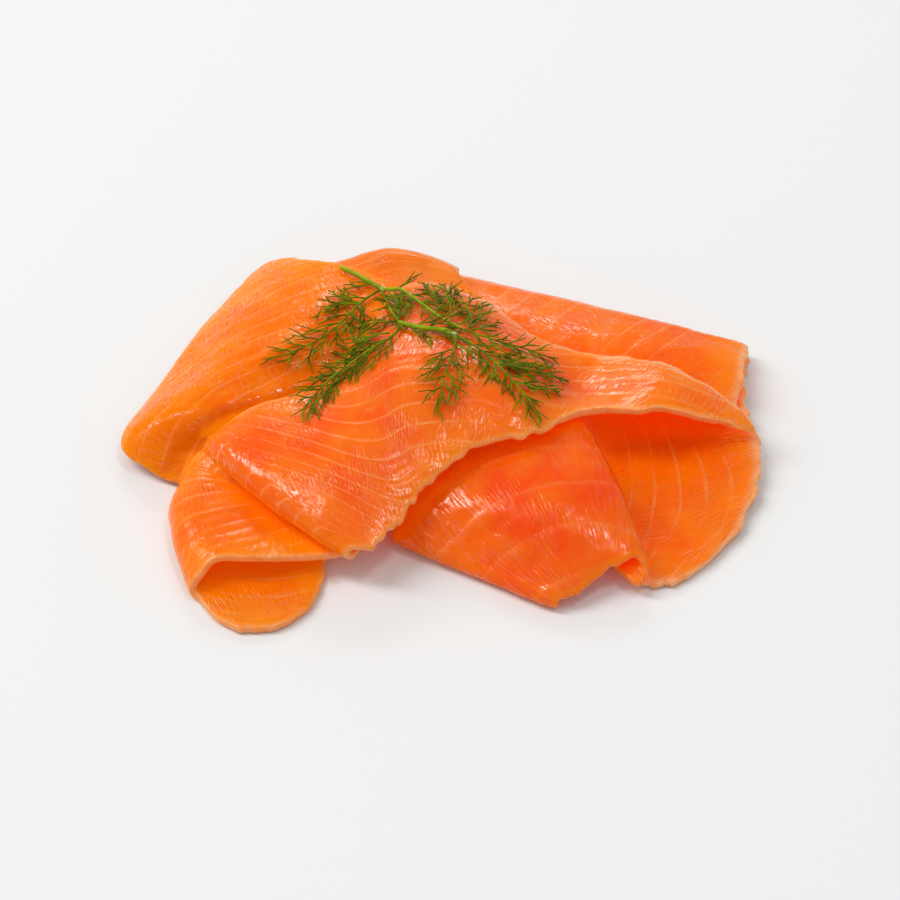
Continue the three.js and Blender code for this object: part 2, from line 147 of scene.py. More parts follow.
RIGHT_SLICE = [
    [(43, -41, 1.5), (54, -53, 1.5), (69, -46, 1.5)],  # front edge
    [(41, -29, 1.5), (60, -36, 1.5), (81, -31, 2.5)],  # dish
    [(40, -11, 1.5), (62, -14, 2), (88, -13, 4.5)],  # middle
    [(37, 8, 2), (60, 4, 2), (87, -3, 6.5)],  # shaded
    [(9, 44, 2), (50, 28, 2), (86, 21, 3)],  # back
    [(3, 62, 2), (46, 45.3, 2), (88.3, 31.5, 2)],  # back foot
    turn(1, 1),
    [(3, 54, 9), (45, 41, 9.6), (88, 30.5, 6)],  # back top
    [(8, 40, 10), (50, 28, 12), (86, 21, 8.5)],  # upper leaf
    [(17, 21, 10), (55, 14, 11.5), (82, 7, 7.5)],  # leaf front
    [(32, 7, 10.5), (54, 5, 11.5), (74, 3, 8.5)],  # hidden edge
]

FRONT_SLICE = [
    [(31, -54, 1.5), (10, -41, 1.5), (-9, -28, 1.5)],  # hidden foot
    [(31, -58, 1.5), (8, -46, 1.5), (-13, -34, 1.5)],  # foot
    turn(1, 1),
    [(31, -59, 4.1), (9, -47, 4.4), (-13, -36, 4.6)],  # side
    [(36, -57.5, 4.4), (16, -39, 11), (-7, -25, 10.5)],  # bulge
    [(42.5, -52.5, 7), (29, -33, 15), (10, -11, 14)],  # ridge
    [(49, -49.5, 9), (41, -26, 14.5), (31, -4, 16.5)],  # right crest
    turn(1, 1),
    [(51, -54.5, 4.7), (41, -24, 4.5), (32, -2, 4.5)],  # right foot
    [(44, -47.5, 4.6), (33, -24, 4.5), (24, -6, 4.5)],  # hidden edge
]

LINES = {"top": TOP_SLICE, "left": LEFT_SLICE, "rear": REAR_SLICE, "right": RIGHT_SLICE,
         "front": FRONT_SLICE}
print("lines across the slices:", {name: len(lines) for name, lines in LINES.items()})

# %% [markdown]
# ## A smooth sheet through the lines
# The sheet has to pass through every line without kinks, stay round in tight turns and
# stay calm in long runs. A curve whose knots follow the square root of the distances does
# this. The same curve is used twice: across, through the points of one line, and along,
# from line to line.

# %% Curves through rows of points
TURN_STEPS = 3
LINE_STEPS = 200


def knots_for(rows):
    """The places of rows of points on a curve, by the square root of their distances."""
    steps = np.linalg.norm(np.diff(rows, axis=0), axis=-1)
    steps = steps.reshape(len(steps), -1).mean(axis=1)
    return np.concatenate([[0.0], np.cumsum(np.sqrt(steps))])


def smooth_through(rows, knots, wanted):
    """Points at the wanted knots of the smooth curve that passes through all rows."""
    step = np.diff(knots).reshape((-1,) + (1,) * (rows.ndim - 1))
    slope = np.diff(rows, axis=0) / step
    tangent = np.empty_like(rows)
    tangent[1:-1] = (slope[:-1] * step[1:] + slope[1:] * step[:-1]) / (step[:-1] + step[1:])
    if len(rows) == 2:
        tangent[:] = slope[0]
    else:
        tangent[0] = 1.5 * slope[0] - 0.5 * tangent[1]
        tangent[-1] = 1.5 * slope[-1] - 0.5 * tangent[-2]
    i = np.clip(np.searchsorted(knots, wanted, side="right") - 1, 0, len(rows) - 2)
    h = step[i]
    s = ((wanted - knots[i]) / np.diff(knots)[i]).reshape(h.shape)
    return ((2 * s**3 - 3 * s**2 + 1) * rows[i] + (s**3 - 2 * s**2 + s) * h * tangent[i]
            + (3 * s**2 - 2 * s**3) * rows[i + 1] + (s**3 - s**2) * h * tangent[i + 1])


def even_line(points, count):
    """A line given by a few points, as evenly spaced points."""
    points = np.array(points, float)
    knots = knots_for(points)
    fine = smooth_through(points, knots, np.linspace(0, knots[-1], LINE_STEPS))
    travelled = np.concatenate([[0], np.cumsum(np.linalg.norm(np.diff(fine, axis=0), axis=1))])
    wanted = np.linspace(0, travelled[-1], count)
    return np.stack([np.interp(wanted, travelled, values) for values in fine.T], axis=1)


def turn_lines(before, above, below, first, last):
    """The lines of a round turn, which bulges the way the sheet was running."""
    run = above - before
    run[:, 2] = 0
    run /= np.linalg.norm(run, axis=1)[:, None]
    radius = np.linalg.norm(above - below, axis=1)[:, None] / 2
    full = np.linspace(first, last, len(above))[:, None]
    made = []
    for angle in np.linspace(0, math.pi, TURN_STEPS + 2)[1:-1]:
        middle = above + (below - above) * (1 - math.cos(angle)) / 2
        made.append(middle + run * radius * full * math.sin(angle))
    return made


# %% The middle of a slice as a fine net of points
NET_COLUMNS = 161
NET_ROWS = 641


class Sheet:
    """The middle surface of a slice, spread evenly along and across."""

    def __init__(self, lines):
        even = [None if line[0] == "turn" else even_line(line, NET_COLUMNS) for line in lines]
        rows = []
        for i, line in enumerate(lines):
            if even[i] is None:
                rows += turn_lines(even[i - 2], even[i - 1], even[i + 1], *line[1:])
            else:
                rows.append(even[i])
        rows = np.array(rows) - MARK
        knots = knots_for(rows)
        fine = np.linspace(0, knots[-1], NET_ROWS)
        net = smooth_through(rows, knots, fine)
        steps = np.linalg.norm(np.diff(net, axis=0), axis=2).mean(axis=1)
        travelled = np.concatenate([[0], np.cumsum(steps)])
        self.length = travelled[-1]
        evenly = np.interp(np.linspace(0, self.length, NET_ROWS), travelled, fine)
        self.net = smooth_through(rows, knots, evenly)
        self.widths = np.linalg.norm(np.diff(self.net, axis=1), axis=2).sum(axis=1)

    def width_at(self, along):
        """The width of the sheet at a distance along it."""
        return np.interp(along, np.linspace(0, self.length, NET_ROWS), self.widths)

    def place(self, along, share):
        """Points at a distance along the sheet and a share of the way across it."""
        i = np.clip(along / self.length * (NET_ROWS - 1), 0, NET_ROWS - 1.001)
        j = np.clip(share * (NET_COLUMNS - 1), 0, NET_COLUMNS - 1.001)
        i0, j0 = i.astype(int), j.astype(int)
        fi, fj = (i - i0)[:, None], (j - j0)[:, None]
        near = self.net[i0, j0] * (1 - fj) + self.net[i0, j0 + 1] * fj
        far = self.net[i0 + 1, j0] * (1 - fj) + self.net[i0 + 1, j0 + 1] * fj
        return near * (1 - fi) + far * fi


for name, lines in LINES.items():
    sheet = Sheet(lines)
    print(name, "slice:", round(sheet.length), "mm long,", round(sheet.widths.max()), "mm wide")

# %% [markdown]
# ## Lumps and ragged edges
# Hand-cut fish is never quite even: the skin of a slice rises and falls over a few
# millimetres, and the knife leaves small bites along the edge. Both come from smooth
# random numbers on a lattice, which give the same result every time for the same seed.

# %% Smooth random lumps
LATTICE = 64
OFF_LATTICE = 0.37


def lumps(places, size, seed):
    """Smooth random numbers from -1 to 1 that change over about size, for rows of places."""
    places = np.asarray(places, float) / size
    if places.ndim == 1:
        places = places[:, None]
    places = np.hstack([places, np.zeros((len(places), 3 - places.shape[1]))]) + OFF_LATTICE
    table = np.random.RandomState(seed).uniform(-1, 1, (LATTICE,) * 3)
    cell = np.floor(places).astype(int)
    share = places - cell
    share = share**2 * (3 - 2 * share)
    total = np.zeros(len(places))
    for corner in np.ndindex(2, 2, 2):
        weight = np.prod(np.where(corner, share, 1 - share), axis=1)
        total += weight * table[tuple(((cell + corner) % LATTICE).T)]
    return total


# %% [markdown]
# ## How the flesh runs
# Salmon flesh is made of flakes with thin white seams of fat between them, three to
# fourteen millimetres apart on these slices, as the knife met them. The muscle fibres run
# across from seam to seam. Each slice was cut and laid its own way, so each has its own
# rule that turns a place on the slice, in millimetres along and across, into a count of
# seams and a distance along the seam.

# %% The run of the flesh on each slice
TOP_SPACING = 6.15
LEFT_SPACING = 6.5
REAR_SPACING = 3.2
RIGHT_SPACING = 6.6
FRONT_SPACING = 14.0


def top_run(along, across):
    """Seams along the slice that sweep round between the crown and the nose."""
    sweep_start, sweep_length, shift = 88, 67, 17.5
    sweep = 0.0135 * np.clip(along - sweep_start, 0, sweep_length) ** 2
    return (across + sweep - shift) / TOP_SPACING, along - 0.4 * across


def left_run(along, across):
    """Slanted seams that fan out towards the front edge."""
    half_width = 37
    spacing = LEFT_SPACING + 0.07 * (across + half_width)
    return (along + 0.9 * across) / spacing, across - 0.6 * along


def rear_run(along, across):
    """Close seams across the hump."""
    return (along + 0.2 * across) / REAR_SPACING, across


def right_run(along, across):
    """Slanted seams that curve away on both sides of the fold."""
    fold = 110
    bend = 0.004 * (along - fold) ** 2
    return (across + 0.65 * along + bend) / RIGHT_SPACING, along - 0.6 * across


def front_run(along, across):
    """Wide seams that drift a little across the slice."""
    slant = 0.3
    return (across + slant * along) / FRONT_SPACING, along - slant * across


# %% [markdown]
# ## Laying a slice
# A slice could be draped by a cloth simulation, but then every fold would land by luck.
# Here a flat grid of the slice's real size is added, its corners are rounded and its edge
# is nibbled while it is still flat, and then every point goes to its place on the sheet.
# Solidify gives it the thickness of a knife cut, thinner at the edge, and one level of
# subdivision rounds the cut.

# %% Lay a flat grid on its sheet
CELL = 1.6
SLICE_THICKNESS = 2.4
THINNING_WIDTH = 4.0
NIBBLE_REACH = 9.0
BITE_LENGTH = 6.5
SMALL_BITE_LENGTH = 2.6
NOTCH_SHARPNESS = 2.4
EDGES_APART = 200
EVEN_RIMS = (0.6, 0.6, 0.6, 0.6)


def edge_distances(along, across, length, width):
    """Distances in from the start, the end, the rear edge and the front edge."""
    return [along, length - along, across, width - across]


def round_corners(distances, radii):
    """Pulls the four corners of the flat slice in to a quarter circle each."""
    for (first, second), radius in zip(((0, 2), (0, 3), (1, 2), (1, 3)), radii):
        p = np.clip(1 - distances[first] / radius, 0, None)
        q = np.clip(1 - distances[second] / radius, 0, None)
        here = (p > 0) & (q > 0)
        for side, a, b in ((first, p, q), (second, q, p)):
            moved = radius * (1 - a * np.sqrt(1 - b**2 / 2))
            other = side ^ 1
            total = distances[side] + distances[other]
            distances[side] = np.where(here, moved, distances[side])
            distances[other] = total - distances[side]


def notches(places, size, seed):
    """0 along rounded lobes and 1 in the sharp notches between them."""
    return 1 - np.clip(NOTCH_SHARPNESS * np.abs(lumps(places, size, seed)), 0, 1)


def nibble(distances, depth, seed):
    """Moves the rim of the flat slice inwards by uneven bites."""
    for side in range(4):
        along_edge = distances[(2, 2, 0, 0)[side]] + EDGES_APART * side
        bite = (0.75 * notches(along_edge, BITE_LENGTH, seed)
                + 0.35 * notches(along_edge, SMALL_BITE_LENGTH, seed + 1))
        fade = np.clip(1 - distances[side] / NIBBLE_REACH, 0, 1) ** 2
        total = distances[side] + distances[side ^ 1]
        distances[side] = distances[side] + depth * np.clip(bite, 0, 1) * fade
        distances[side ^ 1] = total - distances[side]


def lay_slice(name, lines, run, seed, corners, rims=EVEN_RIMS, bite=1.3):
    """A slice of real size and thickness, laid on its lines."""
    sheet = Sheet(lines)
    length, width = sheet.length, sheet.widths.max()
    bpy.ops.object.select_all(action="DESELECT")
    bpy.ops.mesh.primitive_grid_add(
        x_subdivisions=round(length / CELL), y_subdivisions=round(width / CELL), size=1)
    piece = bpy.context.object
    piece.name = name
    mesh = piece.data
    mesh.name = name
    flat = np.empty(len(mesh.vertices) * 3)
    mesh.vertices.foreach_get("co", flat)
    flat = flat.reshape(-1, 3)
    along = (flat[:, 0] + 0.5) * length
    here = sheet.width_at(along)
    distances = edge_distances(along, (flat[:, 1] + 0.5) * here, length, here)
    cut = np.min(distances, axis=0)
    side = np.argmin(distances, axis=0)
    round_corners(distances, corners)
    nibble(distances, bite, seed)
    placed = sheet.place(distances[0], distances[2] / (distances[2] + distances[3]))
    mesh.vertices.foreach_set("co", (placed * MM).ravel())
    seams, beside = run(distances[0], distances[2] - here / 2)
    grain = mesh.attributes.new("grain", "FLOAT_VECTOR", "POINT")
    grain.data.foreach_set("vector", np.stack([seams, beside, cut], axis=1).ravel())
    thickness = piece.vertex_groups.new(name="thickness")
    rim = np.array(rims)[side]
    share = rim + (1 - rim) * np.clip(cut / THINNING_WIDTH, 0, 1)
    for i, value in enumerate(share):
        thickness.add([i], value, "REPLACE")
    wall = piece.modifiers.new("wall", "SOLIDIFY")
    wall.thickness = SLICE_THICKNESS * MM
    wall.offset = 0
    wall.vertex_group = "thickness"
    rounding = piece.modifiers.new("rounding", "SUBSURF")
    rounding.levels = rounding.render_levels = 1
    for modifier in ("wall", "rounding"):
        bpy.ops.object.modifier_apply(modifier=modifier)
    piece.vertex_groups.clear()
    bpy.ops.object.shade_smooth()
    return piece


# %% [markdown]
# ## The relief of the flesh
# The flakes swell a little between their seams, and the whole skin is softly uneven. Both
# are real shape, so they are made by moving the points of the finished skin along its
# normals. Finer wrinkles are left to the material.

# %% Raise the relief of a slice
PILLOW_HEIGHT = 0.14
SEAM_DEPTH = 0.04
SEAM_WIDTH = 0.09
LUMP_HEIGHT = 0.3
LUMP_SIZE = 7
SMALL_LUMP_SIZE = 3.2
PATCH_SIZE = 14
DRIFT_SIZE = 22
GROUND_CLEARANCE = 0.02


def skin_of(mesh):
    """The places and the normals of a mesh's points."""
    count = len(mesh.vertices)
    places, normals = np.empty(count * 3), np.empty(count * 3)
    mesh.vertices.foreach_get("co", places)
    mesh.vertex_normals.foreach_get("vector", normals)
    return places.reshape(-1, 3), normals.reshape(-1, 3)


def raise_relief(piece, seed):
    """Moves the skin of a slice by its flakes, its seams and its lumps."""
    mesh = piece.data
    places, normals = skin_of(mesh)
    grain = np.empty(len(places) * 3)
    mesh.attributes["grain"].data.foreach_get("vector", grain)
    grain = grain.reshape(-1, 3)
    mm = places / MM
    inside = np.clip(grain[:, 2] / 3, 0.25, 1)
    seam = np.abs(np.mod(grain[:, 0] + 0.12 * lumps(mm, DRIFT_SIZE, seed + 2) + 0.5, 1) - 0.5)
    strength = np.clip(0.5 + lumps(mm, PATCH_SIZE, seed + 3), 0, 1)
    height = PILLOW_HEIGHT * np.sin(math.pi * np.minimum(seam * 2, 1)) * strength
    height -= SEAM_DEPTH * np.exp(-((seam / SEAM_WIDTH) ** 2)) * strength
    height += LUMP_HEIGHT * (0.6 * lumps(mm, LUMP_SIZE, seed + 4)
                             + 0.3 * lumps(mm, SMALL_LUMP_SIZE, seed + 5))
    places += normals * (height * inside * MM)[:, None]
    places[:, 2] = np.maximum(places[:, 2], GROUND_CLEARANCE * MM)
    mesh.vertices.foreach_set("co", places.ravel())
    mesh.update()


def make_slice(name, lines, run, slot, seed, **shape):
    """A finished slice that rides on the heap in place of its CAD solid."""
    piece = lay_slice(name, lines, run, seed, **shape)
    raise_relief(piece, seed)
    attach(piece, "root")
    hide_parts(slot.replace("salmon", "slice"))
    piece.data.calc_loop_triangles()
    print(name, "has", len(piece.data.loop_triangles), "triangles")
    return piece


# %% Lay the five slices
SLICES = [
    make_slice("top_slice", TOP_SLICE, top_run, "salmon_top", seed=11,
               corners=(4, 2, 6, 6), rims=(0.5, 0.4, 0.5, 0.85), bite=1.8),
    make_slice("left_slice", LEFT_SLICE, left_run, "salmon_left", seed=23,
               corners=(7, 6, 3, 3)),
    make_slice("rear_slice", REAR_SLICE, rear_run, "salmon_rear", seed=37,
               corners=(3, 7, 3, 3), bite=0.8),
    make_slice("right_slice", RIGHT_SLICE, right_run, "salmon_right", seed=41,
               corners=(5, 9, 5, 6), bite=2.5),
    make_slice("front_slice", FRONT_SLICE, front_run, "salmon_front", seed=53,
               corners=(3, 3, 3, 3)),
]

# %% [markdown]
# ## How far each place is covered
# In the folds, and where one slice hangs over another, light only arrives after passing
# through flesh, which makes it a deeper and redder orange. A ray tracer gives part of this
# by itself, but all of it would take too many bounces. So short rays are sent out from
# every point of the skin, and the share that soon meets fish is stored as its cover.

# %% Measure the cover of the skin
COVER_REACH = 30.0
COVER_RAYS = 12
COVER_BLURS = 4
RAY_LIFT = 0.2

heap = bmesh.new()
for piece in SLICES:
    heap.from_mesh(piece.data)
heap_tree = BVHTree.FromBMesh(heap)
heap.free()


def ray_fan():
    """Directions spread evenly over a dome, with more of them near its top."""
    k = np.arange(COVER_RAYS) + 0.5
    out = np.sqrt(k / COVER_RAYS)
    angle = k * math.pi * (3 - math.sqrt(5))
    return np.stack([out * np.cos(angle), out * np.sin(angle), np.sqrt(1 - out**2)], axis=1)


def measure_cover(piece):
    """How covered each point of a slice is, from 0 to 1, blurred a little over the skin."""
    mesh = piece.data
    places, normals = skin_of(mesh)
    count = len(places)
    side = np.cross(normals, np.where(abs(normals[:, :1]) < 0.8, [[1, 0, 0]], [[0, 1, 0]]))
    side /= np.linalg.norm(side, axis=1)[:, None]
    other = np.cross(normals, side)
    starts = places + normals * RAY_LIFT * MM
    cover = np.zeros(count)
    cast = heap_tree.ray_cast
    for x, y, z in ray_fan():
        rays = side * x + other * y + normals * z
        for i in range(count):
            far = cast(Vector(starts[i]), Vector(rays[i]), COVER_REACH * MM)[3]
            if far is not None:
                cover[i] += 1 - far / (COVER_REACH * MM)
    cover /= COVER_RAYS
    edges = np.empty(len(mesh.edges) * 2, int)
    mesh.edges.foreach_get("vertices", edges)
    first, last = edges.reshape(-1, 2).T
    neighbours = np.bincount(first, minlength=count) + np.bincount(last, minlength=count)
    for _ in range(COVER_BLURS):
        total = np.bincount(first, cover[last], count) + np.bincount(last, cover[first], count)
        cover = (cover + total / neighbours) / 2
    mesh.attributes.new("cover", "FLOAT", "POINT").data.foreach_set("value", cover)
    return cover


for piece in SLICES:
    cover = measure_cover(piece)
    print(piece.name, "cover from", round(cover.min(), 2), "to", round(cover.max(), 2))

# %% [markdown]
# ## Shader sums written as Python
# A material is a tree of nodes. Writing its sums out in Python keeps them readable, so one
# small class stands for a socket: adding, subtracting or multiplying two of them adds the
# Math node that does it. Colours go through their own Mix nodes, since a Math node would
# turn them grey.

# %% Sockets that do sums
class Socket:
    """An output socket of a material. A sum written with it adds its Math nodes."""

    def __init__(self, recipe, socket):
        self.recipe = recipe
        self.socket = socket

    def maths(self, operation, *values):
        settings = {"operation": operation}
        return self.recipe.node("ShaderNodeMath", settings, dict(enumerate(values)))

    def __add__(self, other):
        return self.maths("ADD", self, other)

    __radd__ = __add__

    def __sub__(self, other):
        return self.maths("SUBTRACT", self, other)

    def __rsub__(self, other):
        return self.maths("SUBTRACT", other, self)

    def __mul__(self, other):
        return self.maths("MULTIPLY", self, other)

    __rmul__ = __mul__

    def __mod__(self, other):
        return self.maths("FLOORED_MODULO", self, other)

    def __rmod__(self, other):
        return self.maths("FLOORED_MODULO", other, self)

    def ramp(self, low, high):
        """0 up to low, 1 from high on, and a smooth rise between."""
        settings = {"interpolation_type": "SMOOTHSTEP", "data_type": "FLOAT"}
        return self.recipe.node("ShaderNodeMapRange", settings, {0: self, 1: low, 2: high})


class Recipe:
    """The nodes of one material."""

    def __init__(self, name):
        self.material = bpy.data.materials.new(name)
        self.material.use_nodes = True
        self.tree = self.material.node_tree
        self.tree.nodes.clear()

    def node(self, kind, settings=None, values=None, output=0):
        """Adds a node: its settings first, then the values or links of its sockets."""
        made = self.tree.nodes.new(kind)
        for key, value in (settings or {}).items():
            setattr(made, key, value)
        for key, value in (values or {}).items():
            if isinstance(value, Socket):
                self.tree.links.new(value.socket, made.inputs[key])
            else:
                made.inputs[key].default_value = value
        return Socket(self, made.outputs[output])

    def attribute(self, name, output="Vector"):
        """A value that is stored on the mesh."""
        return self.node("ShaderNodeAttribute", {"attribute_name": name}, output=output)

    def split(self, vector):
        """The three numbers of a vector."""
        return [self.node("ShaderNodeSeparateXYZ", None, {0: vector}, axis) for axis in range(3)]

    def join(self, x, y):
        """A flat vector from two numbers."""
        return self.node("ShaderNodeCombineXYZ", None, {0: x, 1: y})

    def place(self):
        """The place on the piece in millimetres."""
        place = self.node("ShaderNodeTexCoord", output="Object")
        scale = {"operation": "SCALE"}
        return self.node("ShaderNodeVectorMath", scale, {0: place, "Scale": 1 / MM})

    def noise(self, vector, size, detail=2.0, roughness=0.5):
        """Cloudy noise from 0 to 1 that changes over about size."""
        values = {"Vector": vector, "Scale": 1 / size, "Detail": detail, "Roughness": roughness}
        return self.node("ShaderNodeTexNoise", {"noise_type": "FBM", "normalize": True}, values)

    def mix(self, share, first, second):
        """A colour between two colours."""
        values = {0: share, 6: first, 7: second}
        return self.node("ShaderNodeMix", {"data_type": "RGBA", "clamp_factor": True}, values, 2)

    def bump(self, height, distance, normal=None):
        """A normal that follows a height from 0 to 1, distance millimetres high."""
        values = {"Height": height, "Distance": distance * MM, "Strength": 1.0}
        if normal:
            values["Normal"] = normal
        return self.node("ShaderNodeBump", None, values)

    def finish(self, values):
        """The surface shader; fixed values are set on its own sockets."""
        surface = self.node("ShaderNodeBsdfPrincipled", None, values)
        output = self.tree.nodes.new("ShaderNodeOutputMaterial")
        self.tree.links.new(surface.socket, output.inputs["Surface"])
        return self.material


# %% [markdown]
# ## Cured salmon
# Cold-smoked salmon is deep orange because light goes a few millimetres in and only the
# orange part comes out again. Subsurface scattering does that. The surface is wet: a thin
# clear coat of oil and brine, broken up by fine wrinkles that run with the fibres, gives
# small sharp lights over the soft sheen of the flesh. The pale seams follow the grain that
# was stored on each slice. They fade in and out, and are sharp on one side and soft on the
# other. Near the cut edge the slice is thin and light comes through it; this is painted into
# the colour as a lighter, more yellow rim. Covered places get painted shade, a deeper colour
# (on the left slice a brighter one), and a painted glow for the light that reaches them through
# the slices around them.

# %% The finish of the salmon
SEAM_COLOUR = (0.96, 0.38, 0.12, 1)
STREAK_COLOUR = (0.97, 0.28, 0.03, 1)
PALE_RIM = (0.95, 0.48, 0.26, 1)
# Painted glow: the colour and strength of a weak light that covered places give off. It stands in
# for light that reaches them through other slices.
NO_PAINTED_GLOW = (0, 0, 0, 1)
PAINTED_GLOW_STRENGTH = 0.35
COAT_ROUGHNESS = 0.15
COAT_IOR = 1.6
LIGHT_DEPTH = 2.0


def salmon(name, deep, bright, rim, painted_shade_and_light, painted_glow, shine, streak_share, seam_share=0.6,
           pale_rim=0.15, pale_width=0.8, low_share=0.0, gloss=1.0):
    """The finish of one slice, from its five colours and how strong each feature is."""
    recipe = Recipe(name)
    place = recipe.place()

    # the grain: pale seams that fade in and out, and streaks between them
    seams, beside, cut = recipe.split(recipe.attribute("grain"))
    drift = recipe.noise(place, DRIFT_SIZE, 1.0)
    count = seams + (drift - 0.5) * 0.5
    phase = count % 1.0
    patches = recipe.noise(place, 15.0, 1.0).ramp(0.3, 0.58)
    breaks = recipe.noise(place, 2.2, 2.0).ramp(0.25, 0.6)
    line = phase.ramp(0.04, 0.0) + phase.ramp(0.84, 1.0)
    line = line * (0.15 + patches * 0.85) * (0.45 + breaks * 0.55)
    streaks = recipe.noise(recipe.join(count * 2.2, beside * 0.09), 1.0, 3.0, 0.6)

    # the colour, from the flesh to the cut edge
    tone = recipe.noise(place, 13.0, 2.0).ramp(0.3, 0.7)
    colour = recipe.mix(tone, deep, bright)
    colour = recipe.mix(streaks.ramp(0.5, 0.75) * streak_share, colour, STREAK_COLOUR)
    colour = recipe.mix(line * seam_share, colour, SEAM_COLOUR)
    # Painted shade and light: covered places are mixed towards a colour of their own. On most
    # slices it is a deeper red for painted shade; on the left slice it is a brighter yellow-orange
    # for light that comes through other slices.
    cover = recipe.attribute("cover", "Fac")
    colour = recipe.mix(cover.ramp(0.3, 0.8) * 0.85, colour, painted_shade_and_light)
    # Painted light: a lighter, more yellow rim colour stands in for light coming through the thin
    # flesh near the cut edge. It is mixed in broadly within 16 mm of the edge and strongly in the
    # last 3 mm. Places lower than 16 mm take some of the same colour, fully below 8 mm, as far as
    # low_share allows.
    low = recipe.split(place)[2].ramp(16.0, 8.0)
    colour = recipe.mix(low * low_share, colour, rim)
    colour = recipe.mix(cut.ramp(16.0, 1.0) * 0.4, colour, rim)
    colour = recipe.mix(cut.ramp(3.2, 1.4) * 0.5, colour, rim)
    pale = cut.ramp(pale_width, 0.0) * (0.4 + breaks * 0.6) * pale_rim
    colour = recipe.mix(pale, colour, PALE_RIM)

    # the wet surface: soft swells, fine folds with the fibres and short strokes of gloss
    wet = recipe.noise(place, 12.0, 2.0).ramp(0.3, 0.55)
    swell = recipe.noise(place, 6.5, 1.0)
    folds = recipe.noise(recipe.join(count * 2.6, beside), 0.95, 1.0, 0.4).ramp(0.3, 0.7)
    strokes = recipe.noise(recipe.join(count * 2.2, beside * 1.1), 1.0, 3.0, 0.6).ramp(0.49, 0.59)
    specks = recipe.noise(place, 0.5, 1.0)
    rough = recipe.noise(place, 9.0, 2.0).ramp(0.4, 0.62) * 0.85 + 0.15
    coat = (strokes * (0.25 + rough * 0.75) + line * 0.1) * (0.3 + wet * 0.7) * gloss
    normal = recipe.bump(swell, 0.4)
    normal = recipe.bump((folds * 0.8 + specks * 0.2) * rough + line * 0.25, 0.2, normal)
    return recipe.finish({
        "Base Color": colour,
        "Roughness": 0.26 - wet * 0.12,
        "Coat Weight": coat,
        "Coat Roughness": COAT_ROUGHNESS,
        "Coat IOR": COAT_IOR,
        "Normal": normal,
        "IOR": shine,
        "Specular Tint": (1.0, 0.8, 0.6, 1),
        "Subsurface Weight": 1.0,
        "Subsurface Radius": (1.0, 0.4, 0.2),
        "Subsurface Scale": LIGHT_DEPTH * MM,
        # painted glow in covered places
        "Emission Color": recipe.mix(cover.ramp(0.08, 0.45), NO_PAINTED_GLOW, painted_glow),
        "Emission Strength": PAINTED_GLOW_STRENGTH,
    })


# %% The colours of each slice
# Each slice has its own flesh colours. They also differ partly as painted shade and light: the
# front slice, more in shade, is given a deeper red, and the left slice, more in the light, a
# yellower orange.
FINISHES = {
    "salmon_top": dict(
        deep=(0.88, 0.10, 0.001, 1), bright=(0.90, 0.18, 0.003, 1),
        rim=(0.94, 0.30, 0.001, 1), painted_shade_and_light=(0.88, 0.115, 0.0005, 1),
        painted_glow=(0.26, 0.08, 0.001, 1), shine=1.33,
        streak_share=0.25, low_share=0.3, pale_rim=0.45, pale_width=2.6),
    "salmon_left": dict(
        deep=(0.86, 0.15, 0.001, 1), bright=(0.88, 0.20, 0.001, 1),
        rim=(0.92, 0.28, 0.002, 1), painted_shade_and_light=(0.98, 0.27, 0.0005, 1),
        painted_glow=(1.0, 0.42, 0.004, 1), shine=1.14,
        seam_share=0.45, streak_share=0.5, gloss=0.75),
    "salmon_rear": dict(
        deep=(0.82, 0.16, 0.006, 1), bright=(0.86, 0.23, 0.02, 1),
        rim=(0.90, 0.27, 0.01, 1), painted_shade_and_light=(0.86, 0.12, 0.001, 1),
        painted_glow=(0.4, 0.1, 0.001, 1), shine=1.25,
        streak_share=0.6),
    "salmon_right": dict(
        deep=(0.89, 0.125, 0.001, 1), bright=(0.90, 0.18, 0.001, 1),
        rim=(0.94, 0.30, 0.004, 1), painted_shade_and_light=(0.90, 0.065, 0.0004, 1),
        painted_glow=(0.45, 0.055, 0.0005, 1), shine=1.22,
        seam_share=0.4, streak_share=0.2, pale_rim=0.8, pale_width=5.0, gloss=0.85),
    "salmon_front": dict(
        deep=(0.89, 0.075, 0.0005, 1), bright=(0.90, 0.15, 0.001, 1),
        rim=(0.94, 0.25, 0.001, 1), painted_shade_and_light=(0.92, 0.03, 0.0002, 1),
        painted_glow=(0.5, 0.035, 0.0003, 1), shine=1.33,
        seam_share=0.2, streak_share=0.15),
}
for piece, (name, finish) in zip(SLICES, FINISHES.items()):
    piece.data.materials.append(salmon(name, **finish))
print("materials:", [piece.data.materials[0].name for piece in SLICES])

# %% [markdown]
# ## The sprig of dill
# Dill branches again and again: the cut stalk carries fronds, a frond carries side twigs
# that sweep forward, and each twig carries soft green threads on both sides. Each stem is a
# curve with a radius at every point, and all are made one mesh at the end. The sprig lies
# on the fish, so a stem's height comes from a ray dropped on the slices below it.

